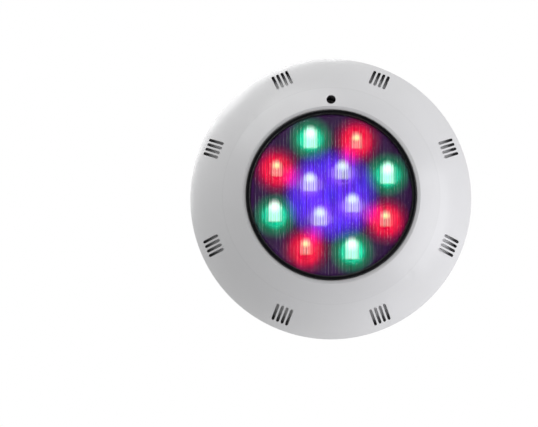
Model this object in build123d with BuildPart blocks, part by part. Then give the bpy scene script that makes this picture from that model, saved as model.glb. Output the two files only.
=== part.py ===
from build123d import *

import math
import os

# Underwater pool light: a sealed LED lamp under a white face plate, held on a wall bracket.
#
# Units are millimetres and +Z is up. The wall is the plane y = 0 and the light shines towards -Y.
# The origin is the centre of the bracket's four wall screws, on the bracket's back face. The lamp
# axis is the Y axis. "Depth" is the distance out from the wall, which is -y.

# Driving dimensions of the face plate
plate_radius = 145.0
plate_back = 3.0
plate_wall = 3.0
rim_depth = 8.0
crease_radius = 110.0
crease_depth = 57.0
window_radius = 86.0
plate_front = 69.0
vent_angle = 22.5
vent_length = 17.0
vent_width = 3.1
vent_pitch = 5.0
vent_radius = 129.9

# Driving dimensions of the lamp housing
boss_radius = 55.0
boss_back = 14.0
step_radius = 83.8
step_back = 36.0
flange_radius = 97.0
flange_back = 40.0
flange_front = 44.0
housing_front = 62.5
housing_wall = 3.0
front_bore = 81.7
glass_radius = 83.3
glass_back = 63.5
glass_front = 68.5
flute_pitch = 3.5
flute_depth = 0.6
fluted_radius = 80.4
ring_front = 71.5
ring_lip = 82.3

# Driving dimensions of the optics and electronics
outer_led_ring = 60.8
inner_led_ring = 24.3
sink_back = step_back + housing_wall
sink_front = 43.0
pad_front = 43.5
board_front = 45.1
optic_front = 60.0
reflector_radius = 81.3
reflector_wall = 2.5
driver_back = 23.0
driver_front = 24.6

# Driving dimensions of the bracket and the locking screw
bracket_width = 88.0
bracket_height = 188.0
bracket_bulge = 5.0
web_thickness = 3.0
rail_height = 12.0
wall_hole_x = 24.0
wall_hole_z = 58.0
wall_hole_radius = 2.6
peg_x = 35.5
peg_z = 25.0
lock_height = 96.9
tube_back = 17.0
tube_floor = 20.0
thread_radius = 2.5

# Cable gland
gland_depth = 26.0
gland_face = 57.0
cable_radius = 3.5

upward = (Align.CENTER, Align.CENTER, Align.MIN)


def facing(depth):
    """The plane parallel to the wall at this depth: +X right, +Z up, extruding off the wall."""
    return Plane.XZ.offset(depth)


def level(height):
    """The horizontal plane at this height, centred on the cable gland, extruding downwards."""
    return Plane(origin=(0, -gland_depth, height), x_dir=(1, 0, 0), z_dir=(0, 0, -1))


def polar(radius, angle):
    """The (x, z) point at this radius and angle, anticlockwise from +X as seen from the front."""
    return (radius * math.cos(math.radians(angle)), radius * math.sin(math.radians(angle)))


def ring_of(count, radius, first_angle):
    """Evenly spaced (x, z) points on a circle round the lamp axis."""
    return [polar(radius, first_angle + k * 360 / count) for k in range(count)]


def seats(points, depth):
    """Locations at these (x, z) points and this depth, their own z axis pointing off the wall."""
    return [Plane(origin=(x, -depth, z), x_dir=(1, 0, 0), z_dir=(0, -1, 0)).location for x, z in points]


def radial_plane(angle):
    """The plane through the lamp axis at this angle: local x outwards, local y towards the wall."""
    x, z = polar(1, angle)
    return Plane(origin=(0, 0, 0), x_dir=(x, 0, z), z_dir=(-z, 0, x))


def turn(outline, mode=Mode.ADD):
    """Revolve a closed outline of (radius, depth) corners about the lamp axis."""
    with BuildSketch(Plane.XY) as section:
        with BuildLine():
            Polyline(*[(radius, -depth) for radius, depth in outline], close=True)
        make_face()
    revolve(section.sketch, axis=Axis.Y, mode=mode)


def turn_plate(front, closing, mode=Mode.ADD):
    """Revolve a region whose front is two arcs that meet at the crease of the face plate."""
    rim, belly, crease, slope, lip = [(radius, -depth) for radius, depth in front]
    with BuildSketch(Plane.XY) as section:
        with BuildLine():
            ThreePointArc(rim, belly, crease)
            ThreePointArc(crease, slope, lip)
            Polyline(lip, *[(radius, -depth) for radius, depth in closing], rim)
        make_face()
    revolve(section.sketch, axis=Axis.Y, mode=mode)


def cross_recess(points, depth, size=4.0):
    """Cut a cross-shaped driver recess, 1.2 deep from this depth outwards, in each screw head."""
    with Locations(*seats(points, depth)):
        Box(size, size / 4, 1.2, align=upward, mode=Mode.SUBTRACT)
        Box(size / 4, size, 1.2, align=upward, mode=Mode.SUBTRACT)


def rear_screws(points, seat, length, shank_radius, head_radius, head_height):
    """Screws driven from the wall side: heads behind the seat, shanks in front of it."""
    with Locations(*seats(points, seat)):
        Cylinder(shank_radius, length, align=upward)
    with Locations(*seats(points, seat - head_height)):
        Cylinder(head_radius, head_height, align=upward)
    rims = edges().filter_by(GeomType.CIRCLE).filter_by(lambda e: abs(e.radius - head_radius) < 1e-3)
    chamfer(rims.group_by(Axis.Y)[-1], head_height / 4)
    cross_recess(points, seat - head_height, head_radius * 1.2)


def front_screws(points, seat, length, shank_radius, head_radius, head_height):
    """Screws driven from the swimmer's side: heads in front of the seat, shanks behind it."""
    with Locations(*seats(points, seat - length)):
        Cylinder(shank_radius, length, align=upward)
    with Locations(*seats(points, seat)):
        Cylinder(head_radius, head_height, align=upward)
    rims = edges().filter_by(GeomType.CIRCLE).filter_by(lambda e: abs(e.radius - head_radius) < 1e-3)
    chamfer(rims.group_by(Axis.Y)[0], head_height / 4)
    cross_recess(points, seat + head_height - 1.2, head_radius * 1.2)


def save(block, name):
    """Label a finished piece and write its STEP file."""
    block.part.label = name
    export_step(block.part, f"parts/{name}.step")


os.makedirs("parts", exist_ok=True)

green_spots = ring_of(4, outer_led_ring, 20)
red_spots = ring_of(4, outer_led_ring, 65)
blue_spots = ring_of(4, inner_led_ring, 62)
led_spots = green_spots + red_spots + blue_spots
clamp_spots = ring_of(8, 91.0, 22.5)
lug_spots = ring_of(4, 110.0, 67.5)
lock_spot = [(0, lock_height)]
peg_spots = [(x, z) for x in (-peg_x, peg_x) for z in (-peg_z, peg_z)]
wall_spots = [(x, z) for x in (-wall_hole_x, wall_hole_x) for z in (-wall_hole_z, wall_hole_z)]
board_screw_spots = ring_of(4, 42.0, 17)
sink_screw_spots = [(x, z) for x in (-21.6, 21.6) for z in (-40.6, 40.6)]
driver_screw_spots = [(x, z) for x in (-23.0, 23.0) for z in (-28.0, 28.0)]


# Wall bracket: a web with a keyhole-ended window, side rails, four locating pegs, and an arm at
# the top that carries the thread for the locking screw.
window_width = 62.0
window_height = 92.0
lobe_radius = 15.5
lobe_height = 59.0
neck_width = 25.0
notch_width = 32.0
notch_floor = 88.0
arm_back = 9.0
arm_front = 16.0
arm_width = 20.0

with BuildPart() as wall_bracket:
    half_width = bracket_width / 2
    half_height = bracket_height / 2
    end_height = half_height + bracket_bulge
    with BuildSketch(facing(0)):
        with BuildLine():
            Line((-half_width, half_height), (-half_width, -half_height))
            ThreePointArc((-half_width, -half_height), (0, -end_height), (half_width, -half_height))
            Line((half_width, -half_height), (half_width, half_height))
            ThreePointArc((half_width, half_height), (0, end_height), (-half_width, half_height))
        make_face()
        Rectangle(window_width, window_height, mode=Mode.SUBTRACT)
        Rectangle(neck_width, 2 * lobe_height, mode=Mode.SUBTRACT)
        with Locations((0, lobe_height), (0, -lobe_height)):
            Circle(lobe_radius, mode=Mode.SUBTRACT)
        with Locations((0, notch_floor + 10)):
            Rectangle(notch_width, 20, mode=Mode.SUBTRACT)
    extrude(amount=web_thickness)
    with BuildSketch(facing(web_thickness)):
        with Locations((-half_width + 2, 0), (half_width - 2, 0)):
            Rectangle(4, bracket_height)
    extrude(amount=rail_height - web_thickness)
    with BuildSketch(facing(web_thickness)):
        with Locations((0, -82), (0, 82)):
            Rectangle(bracket_width - 2, 3)
    extrude(amount=6)
    with BuildSketch(facing(web_thickness)):
        with Locations((0, 83)):
            Rectangle(arm_width, 10)
    extrude(amount=arm_front - web_thickness)
    with BuildSketch(facing(arm_back)):
        with Locations((0, (lock_height + 78) / 2)):
            Rectangle(arm_width, lock_height - 78)
        with Locations(lock_spot[0]):
            Circle(arm_width / 2)
    extrude(amount=arm_front - arm_back)
    with Locations(*seats(wall_spots, web_thickness)):
        Cylinder(5.5, 2, align=upward)
    with Locations(*seats(wall_spots, -1)):
        Cylinder(wall_hole_radius, 10, align=upward, mode=Mode.SUBTRACT)
    with Locations(*seats(peg_spots, web_thickness - 0.5)):
        Cylinder(4.2, boss_back - 0.3 - web_thickness + 0.5, align=upward)
        Cylinder(3.5, 17.5, align=upward)
    with Locations(*seats(lock_spot, 0)):
        Cylinder(4.2, 20, align=upward, mode=Mode.SUBTRACT)
    peg_tips = edges().filter_by(GeomType.CIRCLE).filter_by(lambda e: abs(e.radius - 3.5) < 1e-3)
    chamfer(peg_tips.group_by(Axis.Y)[0], 0.8)
save(wall_bracket, "wall_bracket")

with BuildPart() as bracket_insert:
    with Locations(*seats(lock_spot, arm_back - 1)):
        Cylinder(4.2, arm_front - arm_back + 1, align=upward)
        Cylinder(thread_radius, arm_front - arm_back + 1, align=upward, mode=Mode.SUBTRACT)
save(bracket_insert, "bracket_insert")


# Rear housing: a stepped shell with a deep centre boss, a flange with four lugs, blind sockets for
# the bracket's pegs, posts for the heat sink and the driver board, and a flat for the cable gland.
socket_radius = 3.8
socket_floor = 21.0
lug_width = 11.0
lug_reach = 116.0
tube_clearance = 8.5

with BuildPart() as rear_housing:
    turn([
        (0, boss_back), (boss_radius, boss_back), (boss_radius, step_back), (step_radius, step_back),
        (step_radius, flange_back), (flange_radius, flange_back), (flange_radius, flange_front),
        (step_radius, flange_front), (step_radius, housing_front), (0, housing_front),
    ])
    with BuildSketch(facing(flange_back)):
        with PolarLocations((lug_reach + 84) / 2, 4, start_angle=67.5):
            SlotOverall(lug_reach - 84, lug_width)
    extrude(amount=flange_front - flange_back)
    with BuildSketch(Plane(origin=(0, -gland_depth, 0), x_dir=(1, 0, 0), z_dir=(0, 0, -1))):
        Rectangle(21, 17.8)
    extrude(amount=gland_face)
    turn([
        (0, boss_back + housing_wall), (boss_radius - housing_wall, boss_back + housing_wall),
        (boss_radius - housing_wall, sink_back), (front_bore, sink_back),
        (front_bore, housing_front), (0, housing_front),
    ], mode=Mode.SUBTRACT)
    with BuildSketch(Plane(origin=(0, -gland_depth, -50), x_dir=(1, 0, 0), z_dir=(0, 0, -1))):
        Rectangle(21, 17.8)
    extrude(amount=gland_face - 50)
    with Locations(*seats(peg_spots, boss_back + 1)):
        Cylinder(6.5, socket_floor + 2 - boss_back, align=upward)
    with Locations(*seats(peg_spots, boss_back - 1)):
        Cylinder(socket_radius, socket_floor + 1 - boss_back, align=upward, mode=Mode.SUBTRACT)
    with Locations(*seats(sink_screw_spots, boss_back + 1)):
        Cylinder(4, sink_back - boss_back - 1, align=upward)
    with Locations(*seats(sink_screw_spots, 29)):
        Cylinder(1.5, 10, align=upward, mode=Mode.SUBTRACT)
    with Locations(*seats(driver_screw_spots, boss_back + 1)):
        Cylinder(3.5, driver_back - boss_back - 1, align=upward)
    with Locations(*seats(driver_screw_spots, 18)):
        Cylinder(1.25, 5, align=upward, mode=Mode.SUBTRACT)
    with BuildSketch(facing(boss_back - 1)):
        RectangleRounded(50, 84, 4)
    extrude(amount=2)
    with Locations(*seats(clamp_spots, flange_back)):
        Cylinder(2.0, 4, align=upward, mode=Mode.SUBTRACT)
    with Locations(*seats(lug_spots, flange_back)):
        Cylinder(2.2, 4, align=upward, mode=Mode.SUBTRACT)
    with Locations(*seats(lock_spot, flange_back)):
        Cylinder(tube_clearance, 4, align=upward, mode=Mode.SUBTRACT)
    with Locations(Plane(origin=(0, -gland_depth, -40), x_dir=(1, 0, 0), z_dir=(0, 0, -1)).location):
        Cylinder(6.0, 20, align=upward, mode=Mode.SUBTRACT)
    boss_rim = edges().filter_by(GeomType.CIRCLE).filter_by(lambda e: abs(e.radius - boss_radius) < 1e-3)
    fillet(boss_rim.group_by(Axis.Y)[-1], 2.0)
save(rear_housing, "rear_housing")


# Front closure: the glass in its U gasket, held down by a clamp ring screwed to the flange.
with BuildPart() as lens_clamp_ring:
    turn([
        (84.3, flange_front), (flange_radius, flange_front), (flange_radius, flange_front + 4),
        (window_radius - 0.4, flange_front + 4), (window_radius - 0.4, ring_front),
        (ring_lip, ring_front), (ring_lip, ring_front - 2), (84.3, ring_front - 2),
    ])
    with Locations(*seats(lock_spot, flange_front)):
        Cylinder(tube_clearance, 4, align=upward, mode=Mode.SUBTRACT)
    with Locations(*seats(clamp_spots, flange_front)):
        Cylinder(1.6, 3, align=upward, mode=Mode.SUBTRACT)
    lip = edges().filter_by(GeomType.CIRCLE).group_by(Axis.Y)[0]
    fillet(lip, 0.7)
save(lens_clamp_ring, "lens_clamp_ring")

with BuildPart() as clamp_screws:
    rear_screws(clamp_spots, flange_back, 6.5, 1.55, 3.2, 2.2)
save(clamp_screws, "clamp_screws")

with BuildPart() as lens_gasket:
    turn([
        (front_bore, housing_front), (84.0, housing_front), (84.0, ring_front - 2),
        (front_bore, ring_front - 2), (front_bore, glass_front), (glass_radius, glass_front),
        (glass_radius, glass_back), (front_bore, glass_back),
    ])
save(lens_gasket, "lens_gasket")

with BuildPart() as front_lens:
    turn([(0, glass_back), (glass_radius, glass_back), (glass_radius, glass_front), (0, glass_front)])
    flute_count = int(fluted_radius / flute_pitch)
    flute_radius = (flute_pitch ** 2 / 4 + flute_depth ** 2) / (2 * flute_depth)
    for k in range(-flute_count, flute_count + 1):
        reach = math.sqrt(fluted_radius ** 2 - (k * flute_pitch) ** 2)
        with BuildSketch(Plane.XY):
            with Locations((k * flute_pitch, -(glass_back + flute_depth - flute_radius))):
                Circle(flute_radius * 0.995)
        extrude(amount=reach, both=True, mode=Mode.SUBTRACT)
save(front_lens, "front_lens")


# Optics: a reflector plate with a cup at each LED, a moulded lens in each cup.
cup_back = 46.0
with BuildPart() as reflector_plate:
    turn([
        (0, optic_front - reflector_wall), (reflector_radius - reflector_wall, optic_front - reflector_wall),
        (reflector_radius - reflector_wall, sink_front), (reflector_radius, sink_front),
        (reflector_radius, optic_front), (0, optic_front),
    ])
    with Locations(*seats(led_spots, cup_back)):
        Cone(6.0, 11.6, optic_front - cup_back, align=upward)
    with Locations(*seats(led_spots, cup_back)):
        Cone(4.9, 10.5, optic_front - cup_back, align=upward, mode=Mode.SUBTRACT)
save(reflector_plate, "reflector_plate")

with BuildPart() as collimator_lenses:
    with Locations(*seats(led_spots, 47.0)):
        Cone(4.4, 9.4, 11.5, align=upward)
    with Locations(*seats(led_spots, 58.5)):
        Cylinder(9.6, optic_front - 58.5, align=upward)
    with Locations(*seats(led_spots, 47.0)):
        Cylinder(3.2, 3.5, align=upward, mode=Mode.SUBTRACT)
save(collimator_lenses, "collimator_lenses")


def led_packages(points):
    """Square LED packages on the board, each with a round clear dome."""
    with Locations(*seats(points, board_front)):
        Box(7, 7, 1.2, align=upward)
    with Locations(*seats(points, board_front + 1.2)):
        Cylinder(2.7, 0.6, align=upward)
    with Locations(*seats(points, board_front + 1.8)):
        Cone(2.7, 1.5, 1.6, align=upward)
    caps = edges().filter_by(GeomType.CIRCLE).filter_by(lambda e: abs(e.radius - 1.5) < 1e-3)
    fillet(caps, 0.9)


with BuildPart() as led_green:
    led_packages(green_spots)
save(led_green, "led_green")

with BuildPart() as led_red:
    led_packages(red_spots)
save(led_red, "led_red")

with BuildPart() as led_blue:
    led_packages(blue_spots)
save(led_blue, "led_blue")


# Heat path: board, pad and finned plate, stacked and screwed to the housing.
with BuildPart() as led_board:
    with BuildSketch(facing(pad_front)):
        Circle(72)
        with Locations(*board_screw_spots):
            Circle(1.7, mode=Mode.SUBTRACT)
    extrude(amount=board_front - pad_front)
save(led_board, "led_board")

with BuildPart() as led_board_screws:
    front_screws(board_screw_spots, board_front, 5.0, 1.5, 2.8, 1.8)
save(led_board_screws, "led_board_screws")

with BuildPart() as thermal_pad:
    with BuildSketch(facing(sink_front)):
        Circle(70)
        Circle(8, mode=Mode.SUBTRACT)
        with Locations(*board_screw_spots):
            Circle(1.7, mode=Mode.SUBTRACT)
    extrude(amount=pad_front - sink_front)
save(thermal_pad, "thermal_pad")

with BuildPart() as heat_sink:
    with BuildSketch(facing(34)):
        for x in (-38, -32.5, -27, -21.5, -16, 16, 21.5, 27, 32.5, 38):
            with Locations((x, 0)):
                Rectangle(2, 2 * math.sqrt(40 ** 2 - abs(x) ** 2))
    extrude(amount=sink_back - 34 + 1)
    with BuildSketch(facing(sink_back)):
        Circle(79.5)
    extrude(amount=sink_front - sink_back)
    with Locations(*seats([(0, 0)], sink_back)):
        Cylinder(8, 4, align=upward, mode=Mode.SUBTRACT)
    with Locations(*seats(board_screw_spots, sink_back + 0.8)):
        Cylinder(1.55, 4, align=upward, mode=Mode.SUBTRACT)
    with Locations(*seats(sink_screw_spots, sink_back)):
        Cylinder(1.7, 4, align=upward, mode=Mode.SUBTRACT)
    with Locations(*seats(sink_screw_spots, sink_front - 1.9)):
        Cylinder(3.2, 1.9, align=upward, mode=Mode.SUBTRACT)
save(heat_sink, "heat_sink")

with BuildPart() as heat_sink_screws:
    front_screws(sink_screw_spots, sink_front - 1.9, 11.0, 1.4, 2.9, 1.8)
save(heat_sink_screws, "heat_sink_screws")


# Driver: a board on posts in the centre boss, with its larger components and connectors.
with BuildPart() as driver_board:
    with BuildSketch(facing(driver_back)):
        RectangleRounded(54, 64, 3)
        with Locations(*driver_screw_spots):
            Circle(1.5, mode=Mode.SUBTRACT)
    extrude(amount=driver_front - driver_back)
save(driver_board, "driver_board")

with BuildPart() as driver_board_screws:
    front_screws(driver_screw_spots, driver_front, 5.0, 1.2, 2.4, 1.6)
save(driver_board_screws, "driver_board_screws")

with BuildPart() as driver_coil:
    with Locations(*seats([(13, 15)], driver_front)):
        Cylinder(7.5, 6, align=upward)
        Cylinder(3, 6, align=upward, mode=Mode.SUBTRACT)
    coil_rims = edges().filter_by(GeomType.CIRCLE).filter_by(lambda e: e.radius > 7)
    fillet(coil_rims, 2.0)
save(driver_coil, "driver_coil")

with BuildPart() as driver_capacitors:
    with Locations(*seats([(-14, 18), (-14, 7)], driver_front)):
        Cylinder(4, 8, align=upward)
    can_rims = edges().filter_by(GeomType.CIRCLE).group_by(Axis.Y)[0]
    fillet(can_rims, 0.6)
save(driver_capacitors, "driver_capacitors")

with BuildPart() as driver_chips:
    with Locations(*seats([(-16, -8), (14, -4), (15, -14)], driver_front)):
        Box(7, 5, 1.6, align=upward)
save(driver_chips, "driver_chips")

with BuildPart() as terminal_block:
    with Locations(*seats([(0, -27)], driver_front)):
        Box(15, 8, 8, align=upward)
    with Locations(*seats([(-5, -28.5), (0, -28.5), (5, -28.5)], driver_front + 5)):
        Cylinder(1.6, 3, align=upward, mode=Mode.SUBTRACT)
    wire_ways = [Plane(origin=(x, -driver_front - 2.5, -31), z_dir=(0, 0, 1)) for x in (-5, 0, 5)]
    with Locations(*[way.location for way in wire_ways]):
        Cylinder(1.5, 5, align=upward, mode=Mode.SUBTRACT)
save(terminal_block, "terminal_block")

# Internal leads: four wires leave the header sideways and turn once, up into the board connector.
lead_radius = 0.6
lead_xs = [-3.3, -1.1, 1.1, 3.3]
lead_depth = driver_front + 3.0
lead_start = -15.0
lead_end = 38.0

with BuildPart() as driver_header:
    with Locations(*seats([(0, lead_start - 3)], driver_front)):
        Box(11, 6, 5.5, align=upward)
save(driver_header, "driver_header")

with BuildPart() as led_board_connector:
    with Locations(*seats([(0, 0)], lead_end)):
        Box(11, 6, pad_front - lead_end, align=upward)
save(led_board_connector, "led_board_connector")

rise = lead_end - lead_depth
bend_radius = 0.45 * rise / math.tan(math.radians(45))
print("led leads: bend radius", round(bend_radius, 2), "mm, diameter", 2 * lead_radius, "mm")
with BuildPart() as led_leads:
    for x in lead_xs:
        with BuildLine() as route:
            FilletPolyline(
                (x, -lead_depth, lead_start), (x, -lead_depth, 0), (x, -lead_end, 0), radius=bend_radius
            )
        with BuildSketch(Plane(origin=route.line @ 0, z_dir=route.line % 0)):
            Circle(lead_radius)
        sweep(path=route.line)
save(led_leads, "led_leads")
lead_length = sum(edge.length for edge in route.edges())
wire_volume = math.pi * lead_radius ** 2 * lead_length * len(lead_xs)
print("led leads: volume over section times length", round(led_leads.part.volume / wire_volume, 4))


# Cable gland at the foot of the boss, pointing down.
def gland_turned(outer_radius, top, bottom):
    """A round of the gland between two heights below the lamp axis."""
    with BuildSketch(level(-top)) as disc:
        Circle(outer_radius)
    extrude(disc.sketch, amount=bottom - top)


def gland_hexagon(across_flats, top, bottom):
    """A hexagon of the gland between two heights below the lamp axis."""
    with BuildSketch(level(-top)) as hexagon:
        RegularPolygon(across_flats / 2, 6, major_radius=False)
    extrude(hexagon.sketch, amount=bottom - top)


def gland_bore(radius, top, bottom):
    """A round hole along the gland between two heights below the lamp axis."""
    with BuildSketch(level(-top)) as hole:
        Circle(radius)
    extrude(hole.sketch, amount=bottom - top, mode=Mode.SUBTRACT)


with BuildPart() as gland_body:
    gland_turned(5.9, 44, 59)
    gland_hexagon(16.0, 58.5, 62.5)
    gland_turned(6.6, 62.5, 70)
    gland_bore(cable_radius, 44, 65)
    gland_bore(5.2, 65, 70)
save(gland_body, "gland_body")

with BuildPart() as gland_washer:
    gland_turned(8.2, gland_face, 58.5)
    gland_bore(5.95, gland_face, 58.5)
save(gland_washer, "gland_washer")

with BuildPart() as gland_lock_nut:
    gland_hexagon(16.0, 45, 50)
    gland_bore(5.95, 45, 50)
save(gland_lock_nut, "gland_lock_nut")

with BuildPart() as gland_seal:
    gland_turned(5.1, 65, 72.5)
    gland_bore(cable_radius, 65, 72.5)
save(gland_seal, "gland_seal")

with BuildPart() as gland_nut:
    gland_hexagon(16.0, 63, 70.5)
    gland_turned(7.4, 70.5, 75)
    gland_bore(6.7, 63, 70.2)
    gland_bore(5.2, 70.2, 72.7)
    gland_bore(cable_radius, 72.7, 75)
    nose = edges().filter_by(GeomType.CIRCLE).filter_by(lambda e: abs(e.radius - 7.4) < 1e-3)
    fillet(nose.group_by(Axis.Z)[0], 1.5)
save(gland_nut, "gland_nut")


# Face plate: a thin domed shell with a crease, vent slots with a splash hood behind each group, a
# skirt round the lamp's ring, a tube for the locking screw, and four bosses for the lug screws.
skirt_back = 62.0
tube_radius = 8.0
tube_bore = 4.7
lock_hole = 2.75
hood_start = 116.3
hood_lip = 118.5
hood_lip_depth = 44.0
hood_half_width = 12.0
hood_wall = 1.6
vent_angles = [vent_angle + 45 * k for k in range(8)]

with BuildPart() as face_plate:
    with Locations(*seats(lock_spot, tube_back)):
        Cylinder(tube_radius, plate_front - tube_back, align=upward)
    with Locations(*seats(lug_spots, flange_front)):
        Cylinder(5.0, plate_front - flange_front, align=upward)
    turn_plate(
        [(143.5, rim_depth), (129.5, 34.0), (109.0, 55.8), (99.7, 62.0), (90.0, plate_front - 1.8)],
        [(window_radius, plate_front - 1.8), (window_radius, plate_back), (143.5, plate_back)],
        mode=Mode.INTERSECT,
    )
    with BuildSketch(Plane.XY):
        with BuildLine():
            ThreePointArc((plate_radius, -rim_depth), (130.8, -34.8), (crease_radius, -crease_depth))
            ThreePointArc((crease_radius, -crease_depth), (100.5, -63.4), (90.0, -plate_front))
            Polyline(
                (90.0, -plate_front), (window_radius, -plate_front), (window_radius, -skirt_back),
                (window_radius + plate_wall, -skirt_back), (window_radius + plate_wall, -65.9),
            )
            ThreePointArc((window_radius + plate_wall, -65.9), (98.9, -60.8), (108.0, -54.7))
            ThreePointArc((108.0, -54.7), (128.3, -33.2), (plate_radius - plate_wall, -rim_depth))
            Polyline(
                (plate_radius - plate_wall, -rim_depth), (plate_radius - plate_wall, -plate_back),
                (plate_radius, -plate_back), (plate_radius, -rim_depth),
            )
        make_face()
        fillet(vertices().filter_by(lambda v: abs(v.Y + plate_front) < 1e-3), 0.8)
        fillet(vertices().filter_by(lambda v: abs(v.X - v.Y - plate_radius - plate_back) < 1e-3), 1.2)
    revolve(axis=Axis.Y)
    with BuildSketch(facing(rim_depth + 2)):
        with PolarLocations(vent_radius, 8, start_angle=vent_angle):
            with GridLocations(1, vent_pitch, 1, 4):
                SlotOverall(vent_length, vent_width)
    extrude(amount=plate_front - rim_depth, mode=Mode.SUBTRACT)
    with BuildSketch(*[radial_plane(angle).offset(-hood_half_width) for angle in vent_angles]):
        with BuildLine():
            Polyline(
                (143.4, -4.0), (143.4, -6.4), (hood_lip, -30.5), (hood_lip, -hood_lip_depth),
                (hood_start, -hood_lip_depth), (hood_start, -30.2), close=True,
            )
        make_face()
    extrude(amount=2 * hood_half_width)
    cheeks = [-hood_half_width, hood_half_width - hood_wall]
    with BuildSketch(*[radial_plane(angle).offset(side) for angle in vent_angles for side in cheeks]):
        with BuildLine():
            ThreePointArc((143.5, -rim_depth), (129.5, -34.0), (109.0, -55.8))
            Polyline((109.0, -55.8), (hood_start, -30.2), (143.4, -4.0), (143.5, -rim_depth))
        make_face()
    extrude(amount=hood_wall)
    with Locations(*seats(lock_spot, tube_floor)):
        Cylinder(tube_bore, 60, align=upward, mode=Mode.SUBTRACT)
    with Locations(*seats(lock_spot, tube_back - 1)):
        Cylinder(lock_hole, 5, align=upward, mode=Mode.SUBTRACT)
    with Locations(*seats(lug_spots, flange_front - 1)):
        Cylinder(1.6, 7.5, align=upward, mode=Mode.SUBTRACT)
save(face_plate, "face_plate")

with BuildPart() as lug_screws:
    rear_screws(lug_spots, flange_back, 9.5, 1.55, 3.6, 2.4)
save(lug_screws, "lug_screws")


# Locking screw: a long pan-head screw and its sealing washer at the foot of the tube.
screw_seat = 21.2
with BuildPart() as locking_washer:
    with Locations(*seats(lock_spot, tube_floor + 0.1)):
        Cylinder(4.3, 1.0, align=upward)
        Cylinder(thread_radius, 1.0, align=upward, mode=Mode.SUBTRACT)
save(locking_washer, "locking_washer")

with BuildPart() as locking_screw:
    front_screws(lock_spot, screw_seat, 14.2, thread_radius - 0.05, 4.3, 3.4)
save(locking_screw, "locking_screw")
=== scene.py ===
import math

import bpy
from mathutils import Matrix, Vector

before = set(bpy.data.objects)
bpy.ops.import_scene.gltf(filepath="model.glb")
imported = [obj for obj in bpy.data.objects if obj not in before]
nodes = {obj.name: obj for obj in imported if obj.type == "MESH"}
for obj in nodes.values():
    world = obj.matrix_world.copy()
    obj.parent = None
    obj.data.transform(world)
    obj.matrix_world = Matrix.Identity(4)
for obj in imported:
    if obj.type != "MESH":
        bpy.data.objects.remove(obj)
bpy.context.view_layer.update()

# Camera: its distance, lens and viewing angle, and where the light sits in the frame
IMAGE_WIDTH = 538
SENSOR = 36.0
LENS = 161.5
CAMERA_DISTANCE = 2.5
CAMERA_AZIMUTH = math.radians(-0.6)
CAMERA_ELEVATION = math.radians(-3.7)
RIGHT_OF_CENTRE = 61.6
ABOVE_CENTRE = 14.2

# Studio floor, in metres, and the distances in millimetres over which it fades into the backdrop
FLOOR_HEIGHT = -2.4
FLOOR_REACH = 10.0
FLOOR_FADE = (2200, 8000)
FLOOR_COLOUR = (0.9, 0.9, 0.9)

# The lamp, in millimetres: x to the right, y towards the wall and z up, from the lamp axis
FLUTE_PITCH = 3.5
GLASS_RADIUS = 82.3
LED_BODY_TOP = -46.5
CHIP_FOOT = -24.9
CAN_TOP = -36.9


def spots_on_ring(radius, first_angle):
    """Four evenly spaced (x, z) points, anticlockwise from +X as seen from the front."""
    angles = [math.radians(first_angle + 90 * k) for k in range(4)]
    return [(radius * math.cos(angle), radius * math.sin(angle)) for angle in angles]


OUTER_RING = 60.8
INNER_RING = 24.3
GREEN_SPOTS = spots_on_ring(OUTER_RING, 20)
RED_SPOTS = spots_on_ring(OUTER_RING, 65)
BLUE_SPOTS = spots_on_ring(INNER_RING, 62)

# Brightness of the surround, and the y of the directions between which it falls off to the front
WORLD_AROUND = 0.68
WORLD_FRONT = 0.04
FRONT_EDGE = (-0.97, -0.35)

# Soft lights: name, place in metres, size, power and colour
LIGHTS = (
    ("key", (2.1, -1.0, -0.45), 2.6, 50, (0.97, 0.965, 1.0)),
    ("top_fill", (-1.0, -1.1, 2.0), 2.2, 31, (1, 1, 1)),
    ("back_fill", (-0.9, 2.3, 1.0), 2.2, 30, (1, 1, 1)),
)

# The face plate: two tones of its plastic, and the crease with a small dent on each diagonal
PLATE_COLOUR = (0.66, 0.66, 0.67)
PLATE_SHADE = (0.62, 0.62, 0.625)
PLATE_CREASE = 110.0
CREASE_DENT = (79.5, 0, 79.5)

# Light of the lit lamp, painted on its optics as emission: each LED has a bright window, taller
# than wide, inside a saturated body and a wide dim halo. The lift is how far the window sits above
# the LED's centre, the split how bright its foot stays between flutes, the ghost its painted faint
# repeats in the flutes beside it, and the spark its brightest point. Negative parts take light of
# that colour away.
AMBIENT_LIGHT = (0.030, 0.006, 0.050)
BLUE_FIELD = (0.060, 0.018, 0.98)
FIELD_EDGE = (52, 27)
SPOT_LIGHTS = (
    {
        "spots": GREEN_SPOTS, "lifts": (2.2, 2.0, 5.4, 3.8), "half_width": 6.6, "half_height": 11.0,
        "core": (0.60, 0.55, 0.60), "ghost": (0.03, 0.50, 0.46), "split": 0.8,
        "body": (0.0, 0.45, 0.27), "body_edge": (15.5, 8.5),
        "halo": (-0.028, 0.25, 0.055), "halo_edge": (26, 9),
        "spark": (0.52, 0.35, 0.35), "spark_width": 5.0,
    },
    {
        "spots": RED_SPOTS, "lifts": (0.6, 2.0, 3.5, 2.4), "half_width": 5.6, "half_height": 8.2,
        "core": (0.2, 0.38, 0.27), "ghost": (0.30, 0.10, 0.14), "split": 0.35,
        "body": (0.48, -0.01, 0.0), "body_edge": (20, 11),
        "halo": (0.42, -0.006, 0.0), "halo_edge": (28, 9),
        "spark": (0.15, 0.62, 0.16), "spark_width": 2.8,
    },
    {
        "spots": BLUE_SPOTS, "lifts": (4.5, 2.4, 0.5, 4.0), "half_width": 7.2, "half_height": 9.6,
        "core": (0.40, 0.56, 0.1), "ghost": (0.48, 0.50, 0.1), "split": 0.3,
        "body": (0.10, 0.05, 0.0), "body_edge": (15, 8),
        "halo": (0.06, 0.0, 0.0), "halo_edge": (24, 10),
        "spark": (0.22, 0.36, 0.3), "spark_width": 4.0,
    },
)
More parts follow.
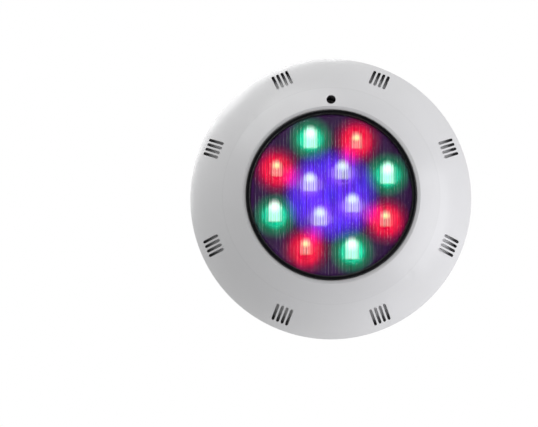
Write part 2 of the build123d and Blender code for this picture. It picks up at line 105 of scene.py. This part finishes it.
# Where the red light runs into the blue field
MAGENTA_SPOTS = spots_on_ring(45.0, 65)
MAGENTA_LIGHT = (0.38, 0.0, 0.12)


# ---------------------------------------------------------------------------------------------
# Studio
# ---------------------------------------------------------------------------------------------

def make_camera():
    """A camera just below the lamp axis, which sees the light right of and above its middle."""
    data = bpy.data.cameras.new("camera")
    data.sensor_width = SENSOR
    data.lens = LENS
    camera = bpy.data.objects.new("camera", data)
    bpy.context.scene.collection.objects.link(camera)
    bpy.context.scene.camera = camera
    back = Vector((
        math.sin(CAMERA_AZIMUTH) * math.cos(CAMERA_ELEVATION),
        -math.cos(CAMERA_AZIMUTH) * math.cos(CAMERA_ELEVATION),
        math.sin(CAMERA_ELEVATION),
    ))
    camera.location = back * CAMERA_DISTANCE
    forward = -back
    right = forward.cross(Vector((0, 0, 1))).normalized()
    up = right.cross(forward)
    focal = LENS / SENSOR * IMAGE_WIDTH
    aim = forward * focal - right * RIGHT_OF_CENTRE - up * ABOVE_CENTRE
    camera.rotation_mode = "QUATERNION"
    camera.rotation_quaternion = aim.to_track_quat("-Z", "Y")


def area_light(name, location, size, power, colour):
    """A soft square light aimed at the lamp."""
    data = bpy.data.lights.new(name, "AREA")
    data.shape = "SQUARE"
    data.size = size
    data.energy = power
    data.color = colour
    lamp = bpy.data.objects.new(name, data)
    bpy.context.scene.collection.objects.link(lamp)
    lamp.location = location
    lamp.rotation_mode = "QUATERNION"
    lamp.rotation_quaternion = (-Vector(location)).to_track_quat("-Z", "Y")


def make_world():
    """White to the camera, dimmer to all else and least in front, so the glass has no glare."""
    world = bpy.data.worlds.new("studio")
    bpy.context.scene.world = world
    world.use_nodes = True
    tree = world.node_tree
    background = tree.nodes["Background"]
    direction = tree.nodes.new("ShaderNodeTexCoord")
    parts = tree.nodes.new("ShaderNodeSeparateXYZ")
    tree.links.new(direction.outputs["Generated"], parts.inputs[0])
    surround = tree.nodes.new("ShaderNodeMapRange")
    surround.interpolation_type = "SMOOTHSTEP"
    limits = (*FRONT_EDGE, WORLD_FRONT, WORLD_AROUND)
    for socket, value in zip(list(surround.inputs)[1:], limits):
        socket.default_value = value
    tree.links.new(parts.outputs["Y"], surround.inputs["Value"])
    path = tree.nodes.new("ShaderNodeLightPath")
    seen = tree.nodes.new("ShaderNodeMath")
    seen.operation = "MAXIMUM"
    tree.links.new(path.outputs["Is Camera Ray"], seen.inputs[0])
    tree.links.new(surround.outputs["Result"], seen.inputs[1])
    background.inputs["Color"].default_value = (1, 1, 1, 1)
    tree.links.new(seen.outputs[0], background.inputs["Strength"])


def make_floor():
    """A plain pale floor, well below the light, which fades into the backdrop far away."""
    mesh = bpy.data.meshes.new("floor")
    corners = [
        (side_x * FLOOR_REACH, side_y * FLOOR_REACH, FLOOR_HEIGHT)
        for side_x, side_y in ((-1, -1), (1, -1), (1, 1), (-1, 1))
    ]
    mesh.from_pydata(corners, [], [(0, 1, 2, 3)])
    floor = bpy.data.objects.new("floor", mesh)
    bpy.context.scene.collection.objects.link(floor)
    paint = Paint("floor")
    distance = paint.vector("LENGTH", paint.place)
    paint.set("Alpha", paint.span(distance, *FLOOR_FADE, 1, 0))
    grain = paint.noise(4, detail=3)
    paint.set("Base Color", paint.blend(grain, shade(FLOOR_COLOUR, 0.93), FLOOR_COLOUR))
    paint.set("Roughness", 0.9)
    floor.data.materials.append(paint.material)


# ---------------------------------------------------------------------------------------------
# Material building blocks
# ---------------------------------------------------------------------------------------------

class Paint:
    """One procedural material. Lengths are millimetres of the object's own space."""

    def __init__(self, name, **settings):
        self.material = bpy.data.materials.new(name)
        self.material.use_nodes = True
        self.tree = self.material.node_tree
        self.shader = self.tree.nodes["Principled BSDF"]
        for setting, value in settings.items():
            socket = setting.replace("_", " ").title().replace("Ior", "IOR")
            self.shader.inputs[socket].default_value = value
        source = self.tree.nodes.new("ShaderNodeTexCoord").outputs["Object"]
        self.place = self.vector("MULTIPLY", source, (1000, 1000, 1000))
        self.heights = []

    def feed(self, socket, value):
        """Links an output to a socket, or sets the socket to a plain value."""
        if isinstance(value, bpy.types.NodeSocket):
            self.tree.links.new(value, socket)
        elif isinstance(value, tuple) and socket.type == "RGBA":
            socket.default_value = (*value, 1)
        else:
            socket.default_value = value

    def set(self, name, value):
        """Links an output to one of the shader's inputs, or sets it to a plain value."""
        self.feed(self.shader.inputs[name], value)

    def math(self, operation, *values):
        """A sum, product or other function of one to three numbers."""
        node = self.tree.nodes.new("ShaderNodeMath")
        node.operation = operation
        for socket, value in zip(node.inputs, values):
            self.feed(socket, value)
        return node.outputs[0]

    def vector(self, operation, *values):
        """A sum, product, length or other function of vectors."""
        node = self.tree.nodes.new("ShaderNodeVectorMath")
        node.operation = operation
        for socket, value in zip(node.inputs, values):
            self.feed(socket, value)
        gives_number = operation in ("LENGTH", "DISTANCE", "DOT_PRODUCT")
        return node.outputs["Value" if gives_number else "Vector"]

    def parts(self, source=None):
        """The x, y and z of a vector, or of the place on the object."""
        node = self.tree.nodes.new("ShaderNodeSeparateXYZ")
        self.feed(node.inputs[0], source or self.place)
        return node.outputs

    def point(self, x, y, z):
        """A vector from its three parts."""
        node = self.tree.nodes.new("ShaderNodeCombineXYZ")
        for socket, value in zip(node.inputs, (x, y, z)):
            self.feed(socket, value)
        return node.outputs[0]

    def span(self, value, low, high, to_low=0.0, to_high=1.0):
        """Eases from to_low to to_high as the value goes from low to high."""
        node = self.tree.nodes.new("ShaderNodeMapRange")
        node.interpolation_type = "SMOOTHSTEP"
        for socket, setting in zip(node.inputs, (value, low, high, to_low, to_high)):
            self.feed(socket, setting)
        return node.outputs[0]

    def blend(self, factor, first, second):
        """Mixes two colours: the first at 0, the second at 1."""
        node = self.tree.nodes.new("ShaderNodeMix")
        node.data_type = "RGBA"
        factor_socket, first_socket, second_socket = [node.inputs[k] for k in (0, 6, 7)]
        self.feed(factor_socket, factor)
        self.feed(first_socket, first)
        self.feed(second_socket, second)
        return node.outputs[2]

    def times(self, first, second):
        """The product of two numbers."""
        return self.math("MULTIPLY", first, second)

    def noise(self, size, detail=4.0, roughness=0.55, stretch=(1, 1, 1), place=None):
        """Soft noise with features of this size."""
        node = self.tree.nodes.new("ShaderNodeTexNoise")
        node.inputs["Scale"].default_value = 1.0
        node.inputs["Detail"].default_value = detail
        node.inputs["Roughness"].default_value = roughness
        scale = tuple(1.0 / (size * part) for part in stretch)
        self.feed(node.inputs["Vector"], self.vector("MULTIPLY", place or self.place, scale))
        return node.outputs["Fac"]

    def cells(self, size, stretch=(1, 1, 1)):
        """Distance to the nearest of scattered points about this far apart, from 0 to about 1."""
        node = self.tree.nodes.new("ShaderNodeTexVoronoi")
        node.inputs["Scale"].default_value = 1.0
        scale = tuple(1.0 / (size * part) for part in stretch)
        self.feed(node.inputs["Vector"], self.vector("MULTIPLY", self.place, scale))
        return node.outputs["Distance"]

    def ridges(self, coordinate, pitch):
        """A wave from 0 to 1 along a coordinate."""
        turn = self.math("MULTIPLY", coordinate, 2 * math.pi / pitch)
        return self.math("MULTIPLY_ADD", self.math("SINE", turn), 0.5, 0.5)

    def recess(self, reach):
        """1 in corners and slots narrower than about this reach, 0 in the open."""
        node = self.tree.nodes.new("ShaderNodeAmbientOcclusion")
        node.samples = 4
        node.inputs["Distance"].default_value = reach / 1000
        return self.span(node.outputs["AO"], 0.35, 0.95, 1, 0)

    def edges(self, width):
        """1 along sharp edges, 0 on open faces."""
        bevel = self.tree.nodes.new("ShaderNodeBevel")
        bevel.samples = 3
        bevel.inputs["Radius"].default_value = width / 1000
        flat = self.tree.nodes.new("ShaderNodeNewGeometry").outputs["Normal"]
        return self.span(self.vector("DOT_PRODUCT", bevel.outputs["Normal"], flat), 0.99, 0.85)

    def emboss(self, height, depth):
        """Adds a height map, 0 to 1, that stands this many millimetres."""
        self.heights.append((height, depth))

    def finish(self):
        """Stacks the height maps into the normal, and returns the material."""
        normal = None
        for height, depth in self.heights:
            node = self.tree.nodes.new("ShaderNodeBump")
            node.inputs["Distance"].default_value = depth / 1000
            self.feed(node.inputs["Height"], height)
            if normal:
                self.feed(node.inputs["Normal"], normal)
            normal = node.outputs[0]
        if normal:
            self.set("Normal", normal)
        return self.material


def dress(material, *names):
    """Gives these CAD nodes a material."""
    for name in names:
        mesh = nodes[name].data
        mesh.materials.clear()
        mesh.materials.append(material)


def shade(colour, factor):
    """A darker or lighter tone of a colour."""
    return tuple(part * factor for part in colour)


# ---------------------------------------------------------------------------------------------
# Plastics and rubber
# ---------------------------------------------------------------------------------------------

def moulded(name, colour, roughness, grain, grain_depth, wear, dust_and_shade, **settings):
    """Injection-moulded plastic: mottled tone, mould grain, pale worn edges, and corners that take
    pale dust on the dark plastics and painted shade on the pale ones.
    """
    paint = Paint(name, **settings)
    tone = paint.noise(38, detail=3)
    base = paint.blend(tone, shade(colour, 0.94), shade(colour, 1.05))
    specks = paint.span(paint.noise(2.2, detail=2), 0.66, 0.74)
    base = paint.blend(paint.times(specks, 0.25), base, shade(colour, 0.8))
    rubbed = paint.times(paint.edges(0.5), paint.span(paint.noise(5), 0.4, 0.62))
    base = paint.blend(paint.times(rubbed, 0.6), base, wear)
    # Corners and recesses take the given colour: pale dust on the dark plastics, painted shade on
    # the pale ones.
    corners = paint.times(paint.recess(5), paint.span(paint.noise(7), 0.3, 0.7, 0.1, 0.5))
    base = paint.blend(corners, base, dust_and_shade)
    paint.set("Base Color", base)
    haze = paint.span(paint.noise(14, detail=6), 0.35, 0.65, roughness * 0.86, roughness * 1.16)
    scuffs = paint.span(paint.noise(1.6, detail=2, stretch=(0.5, 1, 9)), 0.6, 0.75, 0, 0.12)
    paint.set("Roughness", paint.math("ADD", haze, scuffs))
    paint.emboss(paint.noise(grain, detail=2), grain_depth)
    paint.emboss(tone, 0.12)
    return paint.finish()


def face_plastic():
    """White ABS with flow lines round the window, painted shade in a fine line on the crease and in
    its recesses, and small dents.
    """
    paint = Paint("face_plastic", coat_weight=0.25, coat_roughness=0.22, specular_ior_level=0.5)
    across, _, up = paint.parts()
    radius = paint.vector("LENGTH", paint.point(across, 0, up))
    folded = paint.point(paint.math("ABSOLUTE", across), 0, paint.math("ABSOLUTE", up))
    sink = paint.span(paint.vector("DISTANCE", folded, CREASE_DENT), 6.5, 1.0)
    flow = paint.noise(3.2, detail=3, place=paint.point(radius, 0, paint.noise(60, detail=1)))
    tone = paint.noise(52, detail=3)
    base = paint.blend(tone, PLATE_SHADE, PLATE_COLOUR)
    base = paint.blend(paint.times(flow, 0.10), base, shade(PLATE_COLOUR, 0.90))
    # A fine line of painted shade along the crease.
    inside = paint.span(radius, PLATE_CREASE - 0.7, PLATE_CREASE - 0.2)
    painted_crease_shade = paint.times(inside, paint.span(radius, PLATE_CREASE + 0.7, PLATE_CREASE + 0.2))
    base = paint.blend(paint.times(painted_crease_shade, 0.10), base, shade(PLATE_COLOUR, 0.6))
    specks = paint.span(paint.noise(1.3, detail=2), 0.70, 0.78)
    base = paint.blend(paint.times(specks, 0.16), base, (0.36, 0.35, 0.33))
    # Painted shade, olive grey, deep in the vents and other recesses.
    painted_recess_shade = paint.times(paint.recess(3), paint.span(paint.noise(6), 0.25, 0.75, 0.25, 0.55))
    base = paint.blend(painted_recess_shade, base, (0.24, 0.23, 0.20))
    paint.set("Base Color", base)
    haze = paint.span(paint.noise(18, detail=6), 0.35, 0.65, 0.30, 0.42)
    scuffs = paint.span(paint.noise(1.4, detail=2, stretch=(8, 1, 0.4)), 0.64, 0.78, 0, 0.10)
    paint.set("Roughness", paint.math("ADD", haze, scuffs))
    paint.emboss(paint.noise(0.9, detail=2), 0.012)
    paint.emboss(flow, 0.018)
    paint.emboss(sink, -0.22)
    return paint.finish()


def rubber(name, colour, roughness):
    """Soft rubber with a fine skin, a bloom of pale dust and small nicks."""
    paint = Paint(name)
    bloom = paint.span(paint.noise(9, detail=6), 0.45, 0.75, 0, 0.3)
    base = paint.blend(bloom, colour, tuple(part * 0.6 + 0.12 for part in colour))
    paint.set("Base Color", base)
    haze = paint.span(paint.noise(4), 0.3, 0.7, roughness, roughness + 0.15)
    paint.set("Roughness", haze)
    paint.emboss(paint.noise(0.5, detail=3), 0.02)
    paint.emboss(paint.span(paint.cells(3), 0.08, 0.2), 0.04)
    return paint.finish()


# ---------------------------------------------------------------------------------------------
# Metals
# ---------------------------------------------------------------------------------------------

def metal(name, colour, roughness, stretch, stain, **settings):
    """Metal with fine tool lines along its long direction, stains and a shine on its edges."""
    paint = Paint(name, metallic=1.0, **settings)
    stains = paint.span(paint.noise(4, detail=6), 0.48, 0.72, 0, 0.7)
    base = paint.blend(stains, colour, stain)
    bright = tuple(min(1, part * 1.25) for part in colour)
    base = paint.blend(paint.times(paint.edges(0.25), 0.6), base, bright)
    # Tight recesses darken towards a deep tone of the stain: painted shade.
    base = paint.blend(paint.times(paint.recess(1.5), 0.7), base, shade(stain, 0.4))
    paint.set("Base Color", base)
    lines = paint.noise(0.22, detail=3, stretch=stretch)
    smear = paint.span(lines, 0.3, 0.7, roughness * 0.75, roughness * 1.35)
    paint.set("Roughness", paint.math("ADD", smear, paint.times(stains, 0.15)))
    paint.emboss(lines, 0.012)
    return paint.finish()


# ---------------------------------------------------------------------------------------------
# Electronics
# ---------------------------------------------------------------------------------------------

def circuit_board(name, mask, copper, track_size):
    """Solder mask over copper tracks, with silver pads scattered among them."""
    paint = Paint(name, coat_weight=0.4, coat_roughness=0.12, roughness=0.35)
    across, _, up = paint.parts()
    wander = paint.math("ADD", across, paint.noise(11, detail=0))
    column = paint.span(paint.ridges(wander, track_size), 0.45, 0.6)
    row = paint.span(paint.ridges(up, track_size * 1.7), 0.5, 0.65)
    region = paint.span(paint.noise(track_size * 4, detail=0), 0.48, 0.52)
    elsewhere = paint.math("SUBTRACT", 1.0, region)
    tracks = paint.math("ADD", paint.times(column, region), paint.times(row, elsewhere))
    base = paint.blend(tracks, mask, copper)
    pads = paint.span(paint.cells(track_size * 2.4), 0.16, 0.12)
    base = paint.blend(pads, base, (0.62, 0.61, 0.58))
    paint.set("Base Color", base)
    paint.set("Metallic", paint.times(pads, 0.9))
    paint.emboss(tracks, 0.06)
    paint.emboss(paint.noise(0.7), 0.01)
    return paint.finish()


def wound_copper():
    """Enamelled wire wound on a dark core, turn beside turn, with painted shade between the turns.
    """
    paint = Paint(
        "wound_copper", metallic=0.85, roughness=0.28, coat_weight=0.6, coat_roughness=0.1,
    )
    across, _, up = paint.parts()
    # The wave of the turns, embossed, also darkens their colour into the grooves: painted shade.
    turns = paint.ridges(paint.math("ADD", up, paint.times(across, 0.06)), 0.7)
    base = paint.blend(turns, (0.16, 0.05, 0.015), (0.62, 0.27, 0.09))
    base = paint.blend(paint.span(paint.noise(3), 0.5, 0.7, 0, 0.5), base, (0.42, 0.15, 0.04))
    paint.set("Base Color", base)
    paint.emboss(turns, 0.25)
    return paint.finish()


def sleeved_can():
    """A shrink-sleeved capacitor, dark with one pale stripe, and a silver vented top."""
    paint = Paint("sleeved_can", roughness=0.32)
    across, deep, up = paint.parts()
    sleeve = paint.blend(paint.noise(5), (0.012, 0.02, 0.05), (0.03, 0.045, 0.1))
    stripe = paint.span(paint.ridges(across, 11), 0.93, 0.96)
    sleeve = paint.blend(stripe, sleeve, (0.45, 0.46, 0.5))
    top = paint.span(deep, CAN_TOP + 0.5, CAN_TOP)
    paint.set("Base Color", paint.blend(top, sleeve, (0.66, 0.67, 0.69)))
    paint.set("Metallic", top)
    paint.emboss(paint.noise(0.8), 0.03)
    return paint.finish()


def chip_package():
    """Black moulding compound with a frosted grain and pale tinned legs at its foot."""
    paint = Paint("chip_package")
    _, deep, _ = paint.parts()
    grain = paint.noise(0.25, detail=2)
    base = paint.blend(grain, (0.012, 0.012, 0.013), (0.035, 0.035, 0.038))
    legs = paint.span(deep, CHIP_FOOT - 0.1, CHIP_FOOT)
    paint.set("Base Color", paint.blend(legs, base, (0.6, 0.6, 0.58)))
    paint.set("Metallic", legs)
    paint.set("Roughness", paint.span(grain, 0.3, 0.7, 0.45, 0.7))
    paint.emboss(grain, 0.03)
    return paint.finish()


def wire_sleeve():
    """Silicone wire sleeves, one red and one black on each side, slightly ribbed by the strands."""
    paint = Paint("wire_sleeve", roughness=0.4)
    across, _, up = paint.parts()
    red = paint.span(paint.math("SINE", paint.times(across, 1.05)), -0.05, 0.05)
    base = paint.blend(red, (0.02, 0.02, 0.022), (0.5, 0.03, 0.02))
    base = paint.blend(paint.span(paint.noise(2.5), 0.5, 0.8, 0, 0.4), base, (0.2, 0.12, 0.1))
    paint.set("Base Color", base)
    paint.emboss(paint.ridges(up, 0.9), 0.03)
    return paint.finish()


def thermal_pad():
    """A grey gap-filler pad with the print of its glass-fibre weave."""
    paint = Paint("thermal_pad", roughness=0.8, sheen_weight=0.2)
    across, _, up = paint.parts()
    weave = paint.times(paint.ridges(across, 1.1), paint.ridges(up, 1.1))
    base = paint.blend(weave, (0.22, 0.23, 0.25), (0.36, 0.38, 0.41))
    paint.set("Base Color", paint.blend(paint.noise(8), base, (0.28, 0.29, 0.3)))
    paint.emboss(weave, 0.08)
    return paint.finish()


# ---------------------------------------------------------------------------------------------
# Glass and light
# ---------------------------------------------------------------------------------------------

def lens_glass():
    """Clear pressed glass with faint water marks and hairline scratches."""
    paint = Paint(
        "lens_glass", transmission_weight=1.0, ior=1.46, specular_ior_level=0.35,
        base_color=(0.97, 0.985, 0.985, 1),
    )
    marks = paint.span(paint.noise(11, detail=7, roughness=0.7), 0.5, 0.75, 0.0, 0.05)
    scratches = paint.span(paint.noise(0.8, detail=2, stretch=(0.3, 1, 14)), 0.68, 0.8, 0.01, 0.06)
    paint.set("Roughness", paint.math("ADD", marks, scratches))
    paint.emboss(paint.noise(6, detail=2), 0.02)
    return paint.finish()


def window_mask(paint, across, rise, half_width, half_height):
    """A window of light, rounded above and cut off flat below."""
    above = paint.math("MAXIMUM", rise, 0.0)
    oval = paint.vector("LENGTH", paint.point(
        paint.math("DIVIDE", across, half_width), 0, paint.math("DIVIDE", above, half_height),
    ))
    foot = paint.span(rise, -half_height - 1.2, 1.2 - half_height)
    return paint.times(paint.span(oval, 1.3, 0.55), foot)


def add_light(paint, total, mask, colour):
    """Adds a coloured mask to the running sum of light."""
    tint = paint.vector("SCALE", colour)
    paint.feed(tint.node.inputs["Scale"], mask)
    return paint.vector("ADD", total, tint)


def scale_light(paint, total, factor):
    """Dims or brightens a sum of light."""
    scaled = paint.vector("SCALE", total)
    paint.feed(scaled.node.inputs["Scale"], factor)
    return scaled


def lamp_light(paint):
    """The lit lamp's light, painted on its optics: twelve spots, their haloes and the blue field
    between.
    """
    across, _, up = paint.parts()
    ground = paint.point(across, 0, up)
    radius = paint.vector("LENGTH", ground)
    total = paint.vector("ADD", AMBIENT_LIGHT, (0, 0, 0))
    total = add_light(paint, total, paint.span(radius, *FIELD_EDGE), BLUE_FIELD)
    cores = paint.vector("ADD", (0, 0, 0), (0, 0, 0))
    flutes = paint.ridges(across, FLUTE_PITCH)
    slivers = paint.math("POWER", flutes, 4.0)
    for kind in SPOT_LIGHTS:
        for centre, lift in zip(kind["spots"], kind["lifts"]):
            offset = paint.vector("SUBTRACT", ground, (centre[0], 0, centre[1]))
            distance = paint.vector("LENGTH", offset)
            sideways, _, rise = paint.parts(offset)
            rise = paint.math("SUBTRACT", rise, lift)
            total = add_light(paint, total, paint.span(distance, *kind["halo_edge"]), kind["halo"])
            total = add_light(paint, total, paint.span(distance, *kind["body_edge"]), kind["body"])
            window = window_mask(paint, sideways, rise, kind["half_width"], kind["half_height"])
            split = paint.span(flutes, 0.1, 0.9, kind["split"], 1)
            legs = paint.math("MAXIMUM", split, paint.span(rise, -3, 3))
            cores = add_light(paint, cores, paint.times(window, legs), kind["core"])
            above = paint.math("SUBTRACT", rise, kind["half_height"] * 0.3)
            spot = paint.vector("LENGTH", paint.point(sideways, 0, above))
            spark = paint.span(spot, kind["spark_width"] * 1.7, kind["spark_width"] * 0.2)
            cores = add_light(paint, cores, spark, kind["spark"])
            spread, depth = kind["half_width"] * 2.0, kind["half_height"] * 0.8
            wide = window_mask(paint, sideways, rise, spread, depth)
            ghosts = paint.times(paint.times(wide, slivers), paint.span(rise, 4, -2, 0, 0.45))
            cores = add_light(paint, cores, ghosts, kind["ghost"])
    for centre in MAGENTA_SPOTS:
        distance = paint.vector("DISTANCE", ground, (centre[0], 0, centre[1]))
        total = add_light(paint, total, paint.span(distance, 15, 3), MAGENTA_LIGHT)
    # Painted streaks of light along the flutes of the glass.
    streaks = paint.noise(FLUTE_PITCH * 0.5, detail=2, roughness=0.6, stretch=(1, 1, 22))
    streaks = paint.span(streaks, 0.3, 0.7, 0.6, 1.3)
    streaks = paint.times(streaks, paint.span(flutes, 0, 1, 0.75, 1.25))
    total = scale_light(paint, paint.vector("MAXIMUM", total, (0, 0, 0)), streaks)
    total = paint.vector("ADD", total, cores)
    rim = paint.span(radius, GLASS_RADIUS + 0.5, GLASS_RADIUS - 2.5, 0.5, 1)
    return scale_light(paint, total, rim)


def lit_optic(name, colour, **settings):
    """Moulded optics under the glass, glowing with the LEDs' light painted on them."""
    paint = Paint(name, emission_strength=1.0, **settings)
    paint.set("Base Color", paint.blend(paint.noise(9), shade(colour, 0.8), colour))
    paint.set("Emission Color", lamp_light(paint))
    paint.emboss(paint.noise(0.8), 0.02)
    return paint.finish()


def led_package(name, dome, glow):
    """A lit LED: a clear dome over a glowing die, on a pale ceramic body."""
    paint = Paint(name, roughness=0.15, coat_weight=0.5, emission_strength=4.0)
    _, deep, _ = paint.parts()
    ceramic = paint.span(deep, LED_BODY_TOP - 0.1, LED_BODY_TOP + 0.1)
    base = paint.blend(ceramic, dome, (0.75, 0.74, 0.7))
    paint.set("Base Color", paint.blend(paint.noise(1.2), base, shade(dome, 0.8)))
    paint.set("Emission Color", paint.blend(ceramic, glow, (0.0, 0.0, 0.0)))
    paint.emboss(paint.noise(0.4), 0.01)
    return paint.finish()


# ---------------------------------------------------------------------------------------------
# The scene
# ---------------------------------------------------------------------------------------------

make_camera()
make_world()
make_floor()
for light in LIGHTS:
    area_light(*light)
bpy.context.scene.view_settings.view_transform = "Standard"

dress(face_plastic(), "face_plate")
dress(
    moulded(
        "bracket_plastic", colour=(0.66, 0.66, 0.65), roughness=0.40, grain=0.7, grain_depth=0.02,
        wear=(0.74, 0.74, 0.73), dust_and_shade=(0.28, 0.27, 0.24),
    ),
    "wall_bracket",
)
dress(
    moulded(
        "black_plastic", colour=(0.016, 0.016, 0.018), roughness=0.42, grain=0.5, grain_depth=0.03,
        wear=(0.09, 0.09, 0.09), dust_and_shade=(0.06, 0.058, 0.05),
    ),
    "rear_housing",
)
dress(
    moulded(
        "ring_plastic", colour=(0.004, 0.004, 0.005), roughness=0.26, grain=0.7, grain_depth=0.012,
        wear=(0.025, 0.025, 0.027), dust_and_shade=(0.01, 0.01, 0.01), specular_ior_level=0.3,
    ),
    "lens_clamp_ring",
)
dress(
    moulded(
        "gland_nylon", colour=(0.02, 0.02, 0.021), roughness=0.5, grain=0.35, grain_depth=0.02,
        wear=(0.08, 0.08, 0.08), dust_and_shade=(0.07, 0.065, 0.055),
    ),
    "gland_body", "gland_lock_nut", "gland_nut",
)
dress(
    moulded(
        "natural_nylon", colour=(0.62, 0.6, 0.52), roughness=0.45, grain=0.5, grain_depth=0.015,
        wear=(0.7, 0.69, 0.64), dust_and_shade=(0.3, 0.28, 0.24),
    ),
    "driver_header", "led_board_connector",
)
dress(
    moulded(
        "green_nylon", colour=(0.02, 0.25, 0.09), roughness=0.4, grain=0.4, grain_depth=0.015,
        wear=(0.1, 0.4, 0.2), dust_and_shade=(0.02, 0.1, 0.05),
    ),
    "terminal_block",
)
dress(
    rubber("silicone", colour=(0.02, 0.02, 0.022), roughness=0.5),
    "lens_gasket", "locking_washer",
)
dress(
    rubber("sealing_rubber", colour=(0.035, 0.035, 0.038), roughness=0.6),
    "gland_washer", "gland_seal",
)
dress(
    metal(
        "stainless", colour=(0.56, 0.55, 0.53), roughness=0.28, stretch=(1, 14, 1),
        stain=(0.36, 0.31, 0.25),
    ),
    "clamp_screws", "lug_screws", "locking_screw",
    "heat_sink_screws", "led_board_screws", "driver_board_screws",
)
dress(
    metal(
        "brass", colour=(0.68, 0.48, 0.2), roughness=0.3, stretch=(1, 14, 1),
        stain=(0.33, 0.2, 0.08),
    ),
    "bracket_insert",
)
dress(
    metal(
        "aluminium", colour=(0.68, 0.69, 0.71), roughness=0.36, stretch=(1, 1, 16),
        stain=(0.45, 0.46, 0.48),
    ),
    "heat_sink",
)
dress(
    circuit_board(
        "board_white", mask=(0.78, 0.79, 0.78), copper=(0.68, 0.68, 0.64), track_size=3.2,
    ),
    "led_board",
)
dress(
    circuit_board(
        "board_green", mask=(0.012, 0.11, 0.04), copper=(0.03, 0.2, 0.07), track_size=1.6,
    ),
    "driver_board",
)
dress(wound_copper(), "driver_coil")
dress(sleeved_can(), "driver_capacitors")
dress(chip_package(), "driver_chips")
dress(wire_sleeve(), "led_leads")
dress(thermal_pad(), "thermal_pad")
dress(lens_glass(), "front_lens")
dress(
    lit_optic(
        "reflector_plastic", colour=(0.003, 0.003, 0.004), roughness=0.5, specular_ior_level=0.1,
    ),
    "reflector_plate",
)
dress(
    lit_optic(
        "optic_acrylic", colour=(0.005, 0.005, 0.006), roughness=0.25, specular_ior_level=0.1,
    ),
    "collimator_lenses",
)
for led, dome, glow in (
    ("led_green", (0.1, 0.7, 0.4), (0.1, 1.0, 0.45)),
    ("led_red", (0.7, 0.06, 0.05), (1.0, 0.05, 0.04)),
    ("led_blue", (0.1, 0.1, 0.75), (0.12, 0.08, 1.0)),
):
    dress(led_package(led, dome, glow), led)
